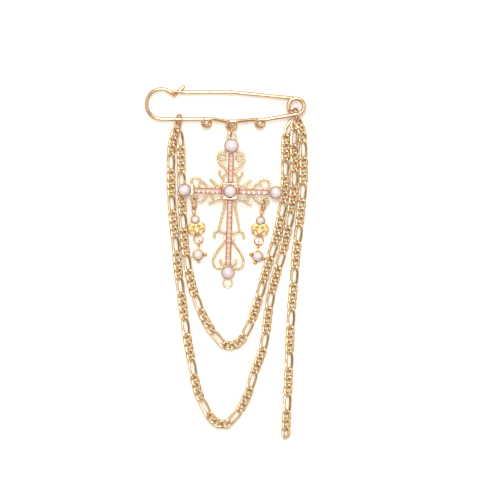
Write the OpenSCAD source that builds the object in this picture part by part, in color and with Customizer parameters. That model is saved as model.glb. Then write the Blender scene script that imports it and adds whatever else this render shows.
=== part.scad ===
// Safety pin brooch of bent wire, lying flat, with a jewelled cross pendant and three figaro
// chain strands. +X points to the coil, +Y to the pin, +Z up from the surface it lies on.

/* [Pin wire] */
// Diameter of the spring wire
wire_d = 1.8; // [1.6:0.1:2.0]
// Overall length of the pin
pin_len = 75; // [70:0.5:80]
// Distance between the front arm and the catch, centre to centre, at the left end
pin_span = 13.95; // [13:0.05:15]
// Place of the front arm up the object
arm_y = 66.6; // [64:0.1:68]
// Height of the lower layer of wire above the surface, at the wire's centre
wire_lift = 2.85; // [2.8:0.05:3.4]
// Gap between two layers of wire that pass over each other
layer_gap = 0.15; // [0.1:0.05:0.3]
// Mean radius of the spring coil
coil_r = 3.65; // [3.4:0.05:4]
// Place of the coil's centre above the front arm's left end
coil_rise = 5.9; // [5.5:0.1:6.5]
// Mean radius of the two outer hanging loops
loop_r = 1.7; // [1.6:0.05:1.9]
// Mean radius of the middle hanging loop
mid_loop_r = 1.9; // [1.8:0.05:2.1]
// Clearance between the stem and the catch hook
catch_gap = 0.15; // [0.12:0.01:0.24]
// Diameter of the sharpened tip
tip_d = 0.4; // [0.3:0.1:0.6]
// Length of the taper
taper_len = 8.2; // [7:0.1:9]
// Outward lean of the tip
tip_lean = 0.6; // [0.3:0.1:0.6]

/* [Rings] */
// Wire of the jump rings at the pin
ring_wire = 0.9; // [0.8:0.05:1.0]
// Mean radius of the ring round the left arm
arm_ring_r = 2.4; // [2.2:0.05:2.6]
// Mean radius of the ring through the coil
coil_ring_r = 3.1; // [3:0.05:3.3]
// Mean radius of the rings that carry the strands
strand_ring_r = 2.35; // [2.2:0.05:2.5]
// Mean radius of the ring that carries the cross
pendant_ring_r = 2.65; // [2.55:0.05:2.75]
// Place of the left ring along the front arm
arm_ring_x = -21.6; // [-23:0.1:-20]

/* [Chains] */
// Wire of a chain link
link_wire = 0.95; // [0.85:0.05:1.0]
// Mean radius of a link's round ends
link_r = 1.85; // [1.8:0.05:1.9]
// Distance between the joints of a short link
short_pitch = 3.65; // [3.6:0.05:3.9]
// Distance between the joints of a long link
long_pitch = 8.3; // [8:0.1:8.8]
// Play between two links at their joint
link_play = 0.38; // [0.34:0.02:0.44]
// Tilt of a link out of the flat, to one side and the other in turn
link_tilt = 35; // [33:1:37]
// Tilt of the links round the bottom of a swag
fold_tilt = 48; // [45:1:50]
// How far the hanging weight draws each joint of the free strand out
free_pull = 0.12; // [0.08:0.01:0.16]

/* [Cross] */
// Reach from the centre to an arm's pearl
arm_reach = 21.2; // [20.5:0.1:22]
// Reach from the centre to the bottom pearl
foot_reach = 37.8; // [37:0.1:39]
// Thickness of the cast scrollwork
cast_t = 1.2; // [1:0.1:1.6]
// Width of a scroll's stroke
scroll_w = 1.05; // [0.9:0.05:1.2]
// Width of the channels in the arms and head
channel_w = 2.6; // [2.5:0.05:2.8]
// Height of the channels
channel_h = 1.9; // [1.7:0.1:2.2]
// Side of the square centre
square_w = 7.8; // [7.6:0.1:8.2]
// Height of the square centre
square_h = 2.2; // [2:0.1:2.6]
// Diameter of the top pearl
pearl_d = 6; // [5.8:0.1:6.2]
// Diameter of the pearls on the two arms
arm_pearl_d = 5.3; // [5.2:0.1:5.6]
// Diameter of the bottom pearl
foot_pearl_d = 5.5; // [5.3:0.1:5.8]
// Diameter of the centre pearl
centre_pearl_d = 5.8; // [5.4:0.1:6]
// Wall of a pearl cup
cup_wall = 0.4; // [0.3:0.05:0.5]
// Height of a pearl cup
cup_h = 1.7; // [1.5:0.1:2]
// Wire of the bail and the foot ring
bail_wire = 1.1; // [0.9:0.1:1.2]
// Mean radius of the bail and the foot ring
bail_r = 2.1; // [2:0.05:2.3]
// Lean of the cross to the right, in degrees
cross_lean = 1.6; // [0:0.1:3]

/* [Stones] */
// Diameter of a cut stone
stone_d = 1.85; // [1.7:0.05:1.9]
// Height of a stone
stone_h = 0.95; // [0.8:0.05:1.1]

/* [Drops] */
// Diameter of a drop's upper pearl
bud_pearl_d = 3.5; // [3.3:0.1:3.7]
// Diameter of a drop's lower pearl
tip_pearl_d = 4.4; // [4.2:0.1:4.6]
// Wire of a drop's rings
drop_wire = 0.7; // [0.6:0.05:0.8]
// Mean radius of the ring that holds a drop
drop_ring_r = 2.5; // [2.45:0.05:2.6]
// Mean radius of an eye
eye_r = 1.0; // [0.95:0.05:1.1]
// Wire of an eye
eye_wire = 0.6; // [0.5:0.05:0.7]
// Thickness of a drop's cast parts
drop_t = 1.3; // [1.1:0.1:1.5]

/* [Fits] */
// Clearance round a set stone or pearl
seat_gap = 0.1; // [0.08:0.01:0.15]

/* [Hidden] */
round_fn = 24;
wire_fn = 16;
turn_fn = 48;
gold = "#D6B78E";
pale_gold = "#E3CC93";
nacre = "#E9DFEC";
pink = "#E8B4C6";

// Turns and places
function unit(v) = v / norm(v);
function between(a, b) = acos(max(-1, min(1, a * b)));
function polar(r, a) = [r * cos(a), r * sin(a), 0];

// Wire layers: low carries the stem and the coil's lower turn, high passes over it
low = wire_lift;
high = low + wire_d + layer_gap;
lay = high - low;

// A wire's corners are rows of [x, y, z, bend radius]. Between them it runs straight
function spot(q) = [q[0], q[1], q[2]];
function headings(p) = [for (i = [1 : len(p) - 1]) unit(spot(p[i]) - spot(p[i - 1]))];
function inward(a, b) = unit(b - (a * b) * a);
function steps(q, a) = ceil(a / (q[3] > 3 ? 12 : 18));
function bend(q, a, b) = let (turn = between(a, b), n = steps(q, turn), c = inward(a, b),
    start = spot(q) - q[3] * tan(turn / 2) * a)
    [for (k = [0 : n]) let (t = turn * k / n)
        [start + q[3] * (sin(t) * a + (1 - cos(t)) * c), cos(t) * a + sin(t) * c, 1]];
function dome(q, a, s) = [for (k = s > 0 ? [3 : -1 : 1] : [1 : 3])
    [spot(q) - s * sin(28 * k) * wire_d / 2 * a, a, cos(28 * k)]];
function wire_path(p) = let (d = headings(p), n = len(p) - 1) concat(
    dome(p[0], d[0], 1), [[spot(p[0]), d[0], 1]],
    [for (i = [1 : n - 1]) each bend(p[i], d[i - 1], d[i])],
    [[spot(p[n]), d[n - 1], 1]], dome(p[n], d[n - 1], -1));
function carried(q, u, i = 0) = i == len(q) ? [] :
    let (v = unit(u - (u * q[i][1]) * q[i][1])) concat([v], carried(q, v, i + 1));

// Round tube along rows of [place, heading, share of the diameter], closed at both ends
module wire_along(q, d, n = wire_fn) {
    u = carried(q, [0.01, 0.02, 1]);
    last = len(q) - 1;
    polyhedron(points = [for (i = [0 : last]) let (w = cross(q[i][1], u[i])) for (k = [0 : n - 1])
                   q[i][0] + q[i][2] * d / 2 * (cos(360 * k / n) * u[i] + sin(360 * k / n) * w)],
               faces = concat([[for (k = [0 : n - 1]) k]],
                   [for (i = [0 : last - 1], k = [0 : n - 1]) let (m = (k + 1) % n)
                       each [[i * n + k, i * n + n + k, i * n + n + m],
                             [i * n + k, i * n + n + m, i * n + m]]],
                   [[for (k = [n - 1 : -1 : 0]) last * n + k]]), convexity = 8);
}

module ring(r, wire) {
    rotate_extrude($fn = turn_fn) translate([r, 0]) circle(d = wire, $fn = round_fn);
}

// A ring whose wire passes through both points, rolled about the line between them
module ring_through(p, q, roll, wire, extra = 0) {
    v = q - p;
    translate((p + q) / 2) rotate([0, -asin(v[2] / norm(v)), atan2(v[1], v[0])]) rotate([roll, 0, 0])
        ring(norm(v) / 2 + extra, wire);
}

// Flat oval of wire with straight sides, its length along X
module oval(l, r, wire) {
    for (s = [0, 1]) rotate(180 * s) {
        translate([l / 2 - r, 0, 0]) rotate(-90)
            rotate_extrude(angle = 180, $fn = turn_fn) translate([r, 0]) circle(d = wire, $fn = round_fn);
        translate([-(l / 2 - r), r, 0]) rotate([0, 90, 0]) cylinder(d = wire, h = l - 2 * r, $fn = round_fn);
    }
}

// Pin places
left_x = -pin_len / 2 + wire_d / 2;
coil_at = [pin_len / 2 - coil_r - wire_d / 2, arm_y + coil_rise, 0];
catch_y = arm_y + pin_span;
bend_r = pin_span / 2 - 0.1;
// Loops: [x, height above the front arm's left end, mean radius]
LOOPS = [[-8.7, 0, loop_r], [2.9, -1.1, mid_loop_r], [16.1, -0.3, loop_r]];
loop_rows = [for (q = LOOPS) let (c = q[2] * 0.98) each [
    [q[0] - 2.6, arm_y + q[1], low, 5], [q[0] + c, arm_y + q[1], low, q[2] * 0.9],
    [q[0] + c, arm_y + q[1] - 2 * c, low + lay / 3, q[2] * 0.9],
    [q[0] - c, arm_y + q[1] - 2 * c, low + 2 * lay / 3, q[2] * 0.9],
    [q[0] - c, arm_y + q[1], high, q[2] * 0.9], [q[0] + 2.6, arm_y + q[1], high, 5]]];

// The front arm meets the coil from its last loop along the tangent
last_loop = [LOOPS[2][0] + 2.6, arm_y + LOOPS[2][1], 0];
to_coil = coil_at - last_loop;
arm_heading = atan2(to_coil[1], to_coil[0]) - asin(coil_r / norm(to_coil));
function coil_corner(a, z) = let (q = coil_at + polar(coil_r * sqrt(2), a)) [q[0], q[1], z, coil_r * 0.97];
coil_end = coil_at + polar(coil_r, arm_heading + 180) + polar(1, arm_heading + 270);

// Stem: straight off the coil, level along the pin's middle, then a taper that leans outward
stem_bend = [3, catch_y - 1.4, low];
stem_end = [-19.2, catch_y - 1.4, low];
tip_at = stem_end + [-taper_len, tip_lean, 0];
to_stem = [coil_at[0] - stem_bend[0], coil_at[1] - stem_bend[1]];
stem_heading = atan2(-to_stem[1], -to_stem[0]) + asin(coil_r / norm(to_stem));

// Catch hook: the wire drops round the stem's inner side, from over it to under it
hook_x = -23.7;
stem_y_at_hook = stem_end[1] + (stem_end[0] - hook_x) / taper_len * tip_lean;
stem_d_at_hook = wire_d + (tip_d - wire_d) * (stem_end[0] - hook_x) / taper_len;
hook_off = (wire_d + stem_d_at_hook) / 2 + catch_gap;
hook_at = [hook_x, stem_y_at_hook - hook_off];
hook_over = low + hook_off;
hook_under = low - wire_d - catch_gap;
FRAME = concat([[hook_x + 4.2, hook_at[1] + 3.7, hook_under, 0],
                [hook_x, hook_at[1], hook_under, 1.45], [hook_x, hook_at[1], hook_over, 1.45],
                [hook_x - 4.3, catch_y, hook_over, 5], [left_x, catch_y, hook_over, bend_r],
                [left_x, arm_y, low, bend_r]],
               [for (i = [1 : len(loop_rows) - 1]) loop_rows[i]],
               [for (k = [-45, 45, 135]) coil_corner(arm_heading + k, high)],
               [[coil_end[0], coil_end[1], high, 0]]);

module pin_frame() {
    color(gold) wire_along(wire_path(FRAME), wire_d);
}

// Stem: the coil's lower turn, the long straight, and the tip that the last straight tapers to
coil_start = coil_at + polar(coil_r, stem_heading);
STEM = concat([[coil_start[0], coil_start[1], low, 0]],
              [for (k = [45, 135, 225]) coil_corner(stem_heading + k, low)],
              [[stem_bend[0], stem_bend[1], low, 20], [stem_end[0], stem_end[1], low, 10],
               [tip_at[0], tip_at[1], low, 0]]);
// The sweep is a touch thinner inside the round rod of the straight, then tapers to the tip
inner_share = 0.96;
rod_from = stem_bend[0] - 0.9;
rod_to = stem_end[0] + 0.8;
function thinned(x) = x > rod_from ? 1 : x > stem_end[0] ? inner_share :
    inner_share - (inner_share - tip_d / wire_d) * min(1, (stem_end[0] - x) / taper_len);

module pin_stem() {
    color(gold) {
        wire_along([for (q = wire_path(STEM)) [q[0], q[1], q[2] * thinned(q[0][0])]], wire_d, 24);
        translate([rod_from, stem_bend[1], low]) rotate([0, -90, 0])
            cylinder(d = wire_d, h = rod_from - rod_to, $fn = turn_fn);
    }
}

// Rings at the pin
module left_arm_ring() {
    color(gold) translate([arm_ring_x, arm_y - 0.3, low]) rotate([0, -57, -8]) ring(arm_ring_r, ring_wire);
}

module left_chain_ring() {
    color(gold) translate([arm_ring_x - 0.69, arm_y - 3.88, low - 0.19]) rotate([0, 57, -8])
        ring(strand_ring_r, ring_wire);
}

module coil_ring() {
    color(gold) translate([coil_at[0] - 0.5, coil_at[1] - 4.16, (low + high) / 2 - 0.09])
        rotate([0, -59.9, -1.2])
        ring(coil_ring_r, ring_wire);
}

module pendant_ring() {
    color(gold) translate([LOOPS[1][0] - 0.12, arm_y - 5.53, low + 1.86]) rotate([0, 94, -3.6])
        ring(pendant_ring_r, ring_wire);
}

// Cross, drawn flat with its back at z = 0 and the square centre at the origin
cross_at = [2.28, 33.06, 2 * link_r * sin(link_tilt) + link_wire + 0.22];
cross_tip = asin(cross_at[2] / (foot_reach + 7.55));
bail_y = arm_reach + 3.9;
bail_z = bail_wire / 2 + 0.1; // the bail and foot ring clear the flat of the back
foot_y = -foot_reach - 4.9;
function cup_r(d) = d / 2 + seat_gap + cup_wall;
seat_z = 0.8;
groove_w = stone_d + 2 * seat_gap;
head_end = arm_reach - cup_r(pearl_d) + 0.4;
arm_end = arm_reach - cup_r(arm_pearl_d) + 0.4;
foot_end = foot_reach - cup_r(foot_pearl_d) + 0.4;
// Pearls round the cross: [x, y, diameter]
SPOTS = [[0, arm_reach, pearl_d], [-arm_reach, 0, arm_pearl_d], [arm_reach, 0, arm_pearl_d],
         [0, -foot_reach, foot_pearl_d]];
// Scrolls of the right half: [end blob diameter, points], the left half mirrors them
SCROLLS = [
    [1.5, [[2.2, 18.3], [4.4, 18.3], [6.0, 16.5], [6.0, 14.4], [4.8, 12.4], [2.6, 10.7],
           [1.6, 9.6], [2.2, 8.2], [3.7, 7.4]]],
    [1.5, [[2.6, 3.6], [3.7, 6.1], [5.3, 8.3], [5.3, 9.4]]],
    [1.5, [[3.5, 1.9], [6.6, 3.1], [8.1, 4.2], [9.4, 5.4]]],
    [0, [[6.6, 3.1], [8.3, 0.9]]],
    [1.5, [[9.2, 1.0], [11.2, 2.6], [12.9, 4.2], [14.6, 5.5], [16.4, 5.9],
           [17.9, 4.9], [18.1, 3.3], [17.0, 2.2]]],
    [0, [[13.6, 4.4], [15.4, 0.8]]],
    [1.5, [[3.5, -3.3], [6.5, -4.0], [8.4, -5.2], [9.7, -5.5]]],
    [0, [[7.2, -4.3], [9.4, -1.0]]],
    [0, [[9.8, -1.0], [11.1, -2.4], [12.7, -4.2], [14.6, -5.1]]],
    [0, [[2.3, -3.6], [2.6, -7.5], [3.6, -12.0], [4.6, -17.0], [4.8, -18.8]]],
    [1.5, [[1.0, -19.8], [2.6, -19.3], [4.4, -18.6], [6.3, -19.2], [7.0, -20.4], [6.8, -21.5]]],
    [0, [[1.0, -23.2], [2.5, -24.4], [4.2, -26.6], [5.7, -28.9], [7.1, -32.2],
         [6.5, -34.9], [4.9, -36.0], [2.6, -35.7]]],
    [1.4, [[1.0, -34.0], [2.6, -34.2], [3.6, -33.2], [3.5, -32.0]]],
];
// Eyelets of the right half: [x, y, outer radius, hole radius]
EYELETS = [[3.9, 15.8, 1.95, 0.95], [16.3, -3.9, 2.05, 1.0], [1.7, -22.2, 1.1, 0]];

function glide(a, b, c, d, t) = 0.5 * (2 * b + (c - a) * t + (2 * a - 5 * b + 4 * c - d) * t * t
    + (3 * b - a - 3 * c + d) * t * t * t);
function smooth(p) = let (n = len(p) - 1) concat([for (i = [0 : n - 1]) for (t = [0 : 2])
    glide(p[max(0, i - 1)], p[i], p[i + 1], p[min(n, i + 2)], t / 3)], [p[n]]);
function side(p, i, w) = let (v = p[min(len(p) - 1, i + 1)] - p[max(0, i - 1)])
    w / 2 * [-v[1], v[0]] / norm(v);
function flipped(p) = [for (q = p) [-q[0], q[1]]];

module stroke(p, w) {
    n = len(p) - 1;
    polygon(concat([for (i = [0 : n]) p[i] + side(p, i, w)], [for (i = [n : -1 : 0]) p[i] - side(p, i, w)]));
}

module scrolls() {
    for (q = SCROLLS, s = [1, -1]) {
        p = s > 0 ? q[1] : flipped(q[1]);
        stroke(len(p) > 2 ? smooth(p) : p, scroll_w);
        if (q[0] > 0) translate(p[len(p) - 1]) circle(d = q[0], $fn = round_fn);
    }
}

module eyelets() {
    for (q = EYELETS, s = [1, -1]) translate([s * q[0], q[1]]) circle(r = q[2], $fn = turn_fn);
}

module eyelet_holes() {
    for (q = EYELETS, s = [1, -1]) if (q[3] > 0)
        translate([s * q[0], q[1], -1]) cylinder(r = q[3], h = cast_t + 2, $fn = turn_fn);
}

// [turn, from, to, number of stones] of each channel, along X before its turn
ROWS = [[90, square_w / 2 - 0.3, head_end, 6], [180, square_w / 2 - 0.3, arm_end - 1.35, 6],
        [0, square_w / 2 - 0.3, arm_end, 6], [270, square_w / 2 - 0.3, foot_end, 13]];

module on_cross() {
    translate(cross_at) rotate([cross_tip, 0, -cross_lean]) children();
}

module cross_body() {
    color(pale_gold) on_cross() difference() {
        union() {
            difference() {
                linear_extrude(cast_t) union() {
                    scrolls();
                    eyelets();
                }
                eyelet_holes();
            }
            for (q = ROWS) rotate(q[0]) translate([q[1], -channel_w / 2, 0])
                cube([q[2] - q[1], channel_w, channel_h]);
            translate([-arm_end - 0.1, -2.3, 0]) cube([1.5, 4.6, channel_h + 0.2]);
            translate([-square_w / 2, -square_w / 2, 0]) cube([square_w, square_w, square_h]);
            for (q = SPOTS) translate([q[0], q[1], 0]) cylinder(r = cup_r(q[2]), h = cup_h, $fn = turn_fn);
            translate([0, bail_y, bail_z]) ring(bail_r, bail_wire);
            translate([0, foot_y, bail_z]) ring(bail_r, bail_wire);
        }
        for (q = ROWS) rotate(q[0]) translate([q[1] + 0.35, -groove_w / 2, seat_z])
            cube([q[2] - q[1] - 0.65, groove_w, 5]);
        for (q = SPOTS) translate([q[0], q[1], seat_z])
            cylinder(r = q[2] / 2 + seat_gap, h = 5, $fn = turn_fn);
        translate([0, 0, seat_z]) cylinder(d = centre_pearl_d + 2 * seat_gap, h = 5, $fn = turn_fn);
    }
}

// Pearl with a flat back, seated with its back at z = 0
module pearl(d, sink) {
    color(nacre) difference() {
        translate([0, 0, d / 2 - sink]) sphere(d = d, $fn = turn_fn);
        translate([-d, -d, -d]) cube([2 * d, 2 * d, d]);
    }
}

module cross_pearl(x, y, d) {
    on_cross() translate([x, y, seat_z + seat_gap]) pearl(d, d * 0.35);
}

module pearl_top() { cross_pearl(0, arm_reach, pearl_d); }
module pearl_left() { cross_pearl(-arm_reach, 0, arm_pearl_d); }
module pearl_right() { cross_pearl(arm_reach, 0, arm_pearl_d); }
module pearl_bottom() { cross_pearl(0, -foot_reach, foot_pearl_d); }
module pearl_centre() { cross_pearl(0, 0, centre_pearl_d); }

// Cut stone: table, crown, girdle and point, with eight facets round
module stone() {
    r = stone_d / 2;
    rotate_extrude($fn = 8) polygon([[0, 0], [r * 0.35, 0], [r, stone_h * 0.55], [r, stone_h * 0.68],
                                     [r * 0.62, stone_h], [0, stone_h]]);
}

module stone_row(q) {
    color(pink) on_cross() rotate(q[0]) for (i = [0 : q[3] - 1])
        translate([q[1] + 0.3 + (i + 0.5) * (q[2] - q[1] - 0.6) / q[3], 0, seat_z + seat_gap]) stone();
}

module stones_top() { stone_row(ROWS[0]); }
module stones_left() { stone_row(ROWS[1]); }
module stones_right() { stone_row(ROWS[2]); }
module stones_bottom() { stone_row(ROWS[3]); }

// Drops: [x, y, turn] of the upper pearl, then of the lower pearl
DROPS = [[[-14.1, 19.8, 0], 9.9, [-12.7, 3.47, 0], -6.1], [[16.45, 19.3, 0], -4.75, [15.1, 2.77, 0], -3]];
// Leaves round each lower pearl: [angle, reach, radius]
LEAVES = [[[8, 3.45, 0.95], [282, 3.15, 0.85], [204, 2.8, 0.55]],
          [[168, 3.15, 0.95], [250, 3.25, 0.9], [341, 2.85, 0.85]]];
lobe_at = [2.25, -5.1];
eye_z = eye_r + eye_wire / 2 + 0.05;
upper_eye = [0.2, 4.6, 1.75];
lower_eye = [0, -7.05, eye_z];
tip_eye = [0, 5.2, eye_z];

module at_drop(i) {
    translate(DROPS[i][0]) rotate(DROPS[i][1]) children();
}

module at_tip(i) {
    translate(DROPS[i][2]) rotate(DROPS[i][3]) children();
}

function placed(v, at, a) = at + [v[0] * cos(a) - v[1] * sin(a), v[0] * sin(a) + v[1] * cos(a), v[2]];
function side_eyelet(s) = let (x = s * EYELETS[1][0], y = EYELETS[1][1], z = cast_t / 2,
    ry = y * cos(cross_tip) - z * sin(cross_tip), rz = y * sin(cross_tip) + z * cos(cross_tip))
    placed([x, ry, rz], cross_at, -cross_lean);

// Rings that hold the drops: [offset from the cross's eyelet, turn]
SEATS = [[[-0.34, -2.4, -0.74], [0, 66.3, -177.3]], [[-0.74, -2.33, -0.7], [0, 72, 172]]];
module drop_ring(i) {
    color(gold) translate(side_eyelet(2 * i - 1) + SEATS[i][0]) rotate(SEATS[i][1])
        ring(drop_ring_r, drop_wire);
}

module drop_fleur(i) {
    cup = bud_pearl_d / 2 + seat_gap + cup_wall;
    color(gold) at_drop(i) difference() {
        union() {
            cylinder(r = cup, h = 1.1, $fn = turn_fn);
            linear_extrude(drop_t) difference() {
                union() {
                    translate([-0.85, -6.2]) square([1.7, 4.8]);
                    for (s = [1, -1]) {
                        translate([s * lobe_at[0], lobe_at[1]]) circle(r = 1.65, $fn = turn_fn);
                        stroke(smooth(s > 0 ? [[0.2, -2.2], [1.6, -2.5], [2.9, -3.1], [3.6, -4.4]]
                                            : [[-0.2, -2.2], [-1.6, -2.5], [-2.9, -3.1], [-3.6, -4.4]]), 1.2);
                    }
                }
                for (s = [1, -1]) translate([s * lobe_at[0], lobe_at[1]]) circle(r = 0.7, $fn = turn_fn);
            }
            translate([-0.5, -6.55, 0]) cube([1, 1.2, 1.9]);
            translate(lower_eye) rotate([0, 90, 0]) ring(eye_r, eye_wire);
            translate([-0.45, 1.8, 0]) cube([1.1, 1.5, 1.9]);
            translate(upper_eye) rotate(90) rotate([40, 0, 0]) oval(3.6, eye_r, eye_wire);
        }
        translate([0, 0, 0.5]) cylinder(d = bud_pearl_d + 2 * seat_gap, h = 5, $fn = turn_fn);
    }
}

module drop_pearl(i) {
    at_drop(i) translate([0, 0, 0.5 + seat_gap]) pearl(bud_pearl_d, bud_pearl_d * 0.15);
}

module drop_mid_ring(i) {
    color(gold) ring_through(placed(lower_eye, DROPS[i][0], DROPS[i][1]),
        placed(tip_eye, DROPS[i][2], DROPS[i][3]), i == 0 ? 12 : -12, drop_wire);
}

module drop_tip(i) {
    cup = tip_pearl_d / 2 + seat_gap + cup_wall;
    color(gold) at_tip(i) difference() {
        union() {
            cylinder(r = cup, h = 1.1, $fn = turn_fn);
            for (q = LEAVES[i]) rotate(q[0]) translate([q[1], 0, q[2] + 0.05])
                sphere(r = q[2], $fn = turn_fn);
            translate([-0.6, cup - 0.4, 0]) cube([1.2, 2, 1.3]);
            translate(tip_eye + [0, 0.35, 0]) rotate(90) rotate([90, 0, 0]) oval(2.7, eye_r, eye_wire);
        }
        translate([0, 0, 0.5]) cylinder(d = tip_pearl_d + 2 * seat_gap, h = 5, $fn = turn_fn);
    }
}

module drop_tip_pearl(i) {
    at_tip(i) translate([0, 0, 0.5 + seat_gap]) pearl(tip_pearl_d, tip_pearl_d * 0.15);
}

module drop_ring_left() { drop_ring(0); }
module drop_fleur_left() { drop_fleur(0); }
module drop_pearl_left() { drop_pearl(0); }
module drop_mid_ring_left() { drop_mid_ring(0); }
module drop_tip_left() { drop_tip(0); }
module drop_tip_pearl_left() { drop_tip_pearl(0); }
module drop_ring_right() { drop_ring(1); }
module drop_fleur_right() { drop_fleur(1); }
module drop_pearl_right() { drop_pearl(1); }
module drop_mid_ring_right() { drop_mid_ring(1); }
module drop_tip_right() { drop_tip(1); }
module drop_tip_pearl_right() { drop_tip_pearl(1); }

// Chains: hand-laid routes on the surface, [x, y], from ring to ring
OUTER = [[-22.93, 61.27], [-24.01, 57.82], [-24.78, 54.31], [-25.22, 50.73], [-25.3, 42.43],
         [-25.28, 38.79], [-25.2, 33], [-24.9, 27], [-24.4, 21], [-23.6, 14],
         [-22.9, 7], [-22.3, 0], [-21.6, -7], [-20.6, -14], [-19.6, -21], [-18.6, -29], [-17.4, -37],
         [-15.9, -45], [-14.5, -53], [-12.8, -60], [-10.2, -66.5], [-6.6, -72.2], [-5.2, -73.9], [-3.2, -75],
         [-1.0, -75.4], [1.2, -75], [3.2, -73.9], [4.5, -72.3], [7.0, -68.2], [9.0, -64.6], [10.6, -61],
         [12.1, -56.4], [13.5, -51], [15.3, -46.5], [17.2, -41.5], [18.5, -36.5], [19.2, -30.5], [19.8, -25],
         [20.6, -19], [21.7, -13], [23.1, -8], [24.8, -2], [26.5, 4], [28.2, 11], [29.6, 18], [30.9, 25],
         [31.8, 32], [32.2, 39], [32.29, 46.8],
         [31.96, 50.42], [31.94, 54.02], [32.13, 62.21], [32.11, 65.86]];
INNER = [[-21.73, 61.37], [-20.52, 53.16], [-20.53, 49.51], [-20.4, 42], [-20.3, 36],
         [-20.2, 30], [-20.0, 24], [-19.5, 18],
         [-19.1, 12], [-18.6, 6], [-17.9, 1], [-16.7, -5], [-15.3, -11], [-13.6, -16.5], [-11.6, -21.5],
         [-9.3, -26], [-7.0, -30], [-5.0, -33.4], [-3.4, -35.6], [-1.0, -37.5], [2.0, -38.2], [5.0, -37.5],
         [7.4, -35.6], [9.2, -32.9], [11.0, -29.2], [12.7, -25], [14.3, -20.2], [15.9, -15], [17.3, -9.4],
         [19.0, -3.6], [21.0, 2.4], [22.9, 8.6], [24.6, 15], [26.1, 22], [27.2, 29], [27.8, 36], [27.9, 42],
         [27.93, 47.82], [27.97, 51.47], [27.98, 55.12], [28.22, 58.76], [31.59, 66.26]];
FREE = [[33.03, 66.22], [34.94, 63.22], [35.9, 60.02], [36.14, 56.5], [36.42, 48.21],
        [36.4, 44.56], [36.4, 38], [35.9, 30.5], [35.0, 22],
        [34.0, 13], [33.1, 5], [32.3, -4], [31.6, -13], [30.8, -22], [30.3, -31], [29.9, -40], [29.6, -50],
        [29.1, -60], [28.6, -70], [28.0, -84]];
rest_z = link_r * sin(link_tilt) + link_wire / 2;

// Strand rows: [route, number of links, place of the first long link, lifts of the first joints,
// lifts of the last joints, tilts of the first links, tilts of the last links, side of the first tilt,
// first and last link of the fold at the bottom, draw of each joint]
STRANDS = [[OUTER, 61, 3, [1.95, 1.44, 0.83, 0.23, 0.08], [0.26, 0.87, 2.2, 2.42],
            [34.8, -75, 34.8, -35.2], [-35.3, 34.8, -76.4, 38.9], 1, [29, 32], 0],
           [INNER, 45, 0, [0.18, 0, 0.02, 0.04], [0.08, 0.09, 0.08, 1.19],
            [34.9, -34.6, 35, -35], [-32, 35, -34.2, 42.8], 1, [19, 22], 0],
           [FREE, 31, 3, [3.29, 2.45, 0.98, 0.05, 0.02], [0],
            [-33.5, 84.1, -35, 34.6], [], -1, [40, 40], free_pull]];

function pitch_of(k, first) = (k - first + 4) % 4 == 0 ? long_pitch : short_pitch;
fold_lift = link_r * (sin(fold_tilt) - sin(link_tilt));
function lift_of(q, k) = let (a = len(q[3]), b = q[1] - len(q[4]))
    k < a ? q[3][k] : k > b ? q[4][k - b - 1] : k >= q[8][0] && k <= q[8][1] + 1 ? fold_lift : 0;
function level(q, k) = rest_z + lift_of(q, k);
function plan_steps(q) = [for (k = [0 : q[1] - 1])
    let (p = pitch_of(k, q[2]), z = level(q, k + 1) - level(q, k))
    sqrt(p * p - z * z) + (k < len(q[3]) ? 0 : q[9])];
function ahead(r, i, p, s) = i < len(r) - 2 && norm(r[i + 1] - p) < s ? ahead(r, i + 1, p, s) :
    let (f = r[i] - p, d = r[i + 1] - r[i], b = f * d, c = d * d)
    [r[i] + d * (sqrt(max(0, b * b - c * (f * f - s * s))) - b) / c, i];
function joints(r, s, p, i = 0, k = 0) = k == len(s) ? [p] :
    let (q = ahead(r, i, p, s[k])) concat([p], joints(r, s, q[0], q[1], k + 1));
// The part of a route below this level is stretched until the last joint meets its ring
fold_y = 20;
function stretched(r, f) = [for (q = r) [q[0], q[1] < fold_y ? fold_y + (q[1] - fold_y) * f : q[1]]];
function overrun(r) = let (n = len(r) - 1) concat(r, [r[n] + 12 * unit(r[n] - r[n - 1])]);
function miss(r, s, f) = let (n = len(r) - 1, j = joints(overrun(stretched(r, f)), s, r[0]))
    (j[len(s)] - r[n]) * unit(r[n] - r[n - 1]);
function fitted(r, s, lo, hi, k = 0) = let (m = (lo + hi) / 2) k == 14 ? m :
    miss(r, s, m) > 0 ? fitted(r, s, m, hi, k + 1) : fitted(r, s, lo, m, k + 1);

// Each link: [middle, pitch angle, heading, tilt, length along the wire's centre]
function links(q, f) = let (s = plan_steps(q), n = q[1], j = joints(overrun(stretched(q[0], f)), s, q[0][0]))
    [for (k = [0 : n - 1]) let (z = level(q, k),
                                v = [j[k + 1][0], j[k + 1][1], level(q, k + 1)] - [j[k][0], j[k][1], z])
        [[j[k][0], j[k][1], z] + v / 2, -asin(v[2] / norm(v)), atan2(v[1], v[0]),
         k < 4 ? q[5][k] : k >= n - len(q[6]) ? q[6][k - n + len(q[6])] :
         q[7] * (k % 2 == 0 ? 1 : -1) * (k >= q[8][0] && k <= q[8][1] ? fold_tilt : link_tilt),
         pitch_of(k, q[2]) + link_wire + link_play]];

module strand(q, f) {
    color(gold) for (a = links(q, f)) translate(a[0]) rotate([0, a[1], a[2]]) rotate([a[3], 0, 0])
        oval(a[4], link_r, link_wire);
}

module chain_outer() { strand(STRANDS[0], fitted(OUTER, plan_steps(STRANDS[0]), 0.9, 1.1)); }
module chain_inner() { strand(STRANDS[1], fitted(INNER, plan_steps(STRANDS[1]), 0.9, 1.1)); }
module chain_free() { strand(STRANDS[2], 1); }

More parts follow.
